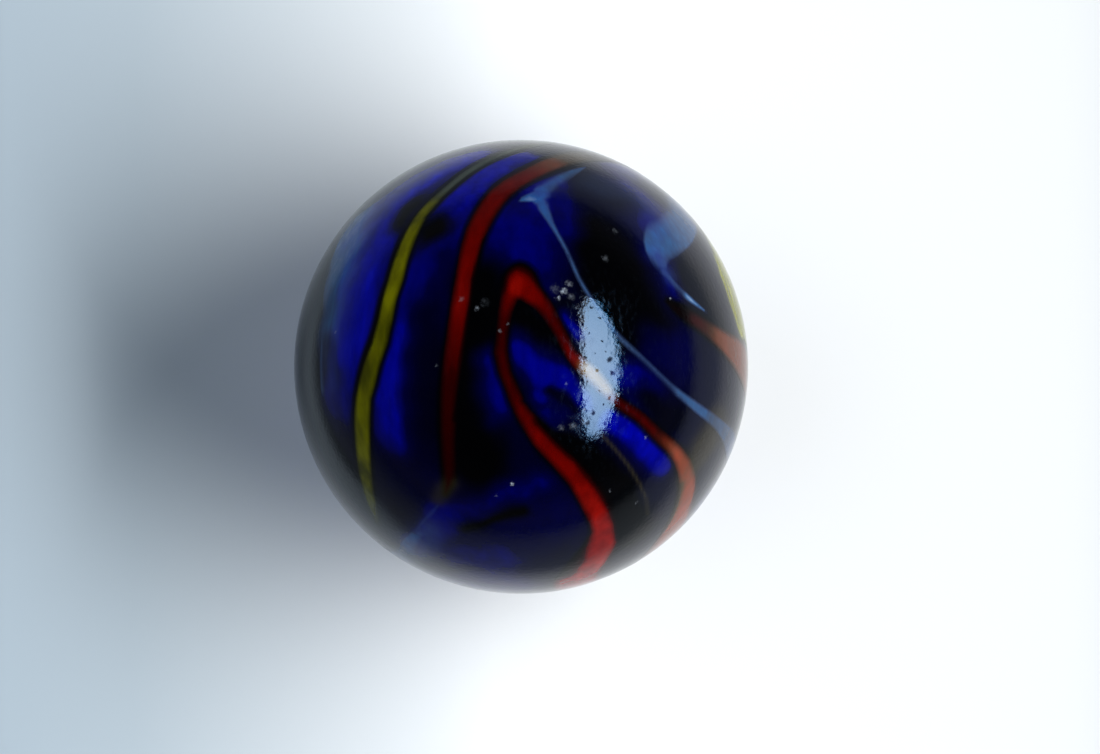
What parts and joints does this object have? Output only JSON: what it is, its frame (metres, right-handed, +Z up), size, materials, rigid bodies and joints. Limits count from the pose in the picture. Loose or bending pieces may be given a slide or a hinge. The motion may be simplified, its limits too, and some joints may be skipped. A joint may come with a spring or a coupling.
{
  "type": "glass marble",
  "caption": "Solid round ball of deep cobalt-blue glass with red, olive-yellow and pale slate-blue glass ribbons and wisps swirled flush in its surface; a toy marble.",
  "frame": {"origin": "centre of the ball", "axes": "+Z up through the top of the ball, where the fold of the red ribbon lies; +Y along the axis that the ribbons were drawn out along; +X towards the side with the short ribbons"},
  "size_m": [0.016, 0.016, 0.016],
  "materials": {
    "blue_glass": "gloss",
    "red_glass": "gloss",
    "yellow_glass": "gloss",
    "pale_glass": "gloss"
  },
  "bodies": {
    "root": {"ball": "blue_glass", "red_ribbons": "red_glass", "yellow_ribbons": "yellow_glass", "pale_wisps": "pale_glass"}
  },
  "joints": []
}
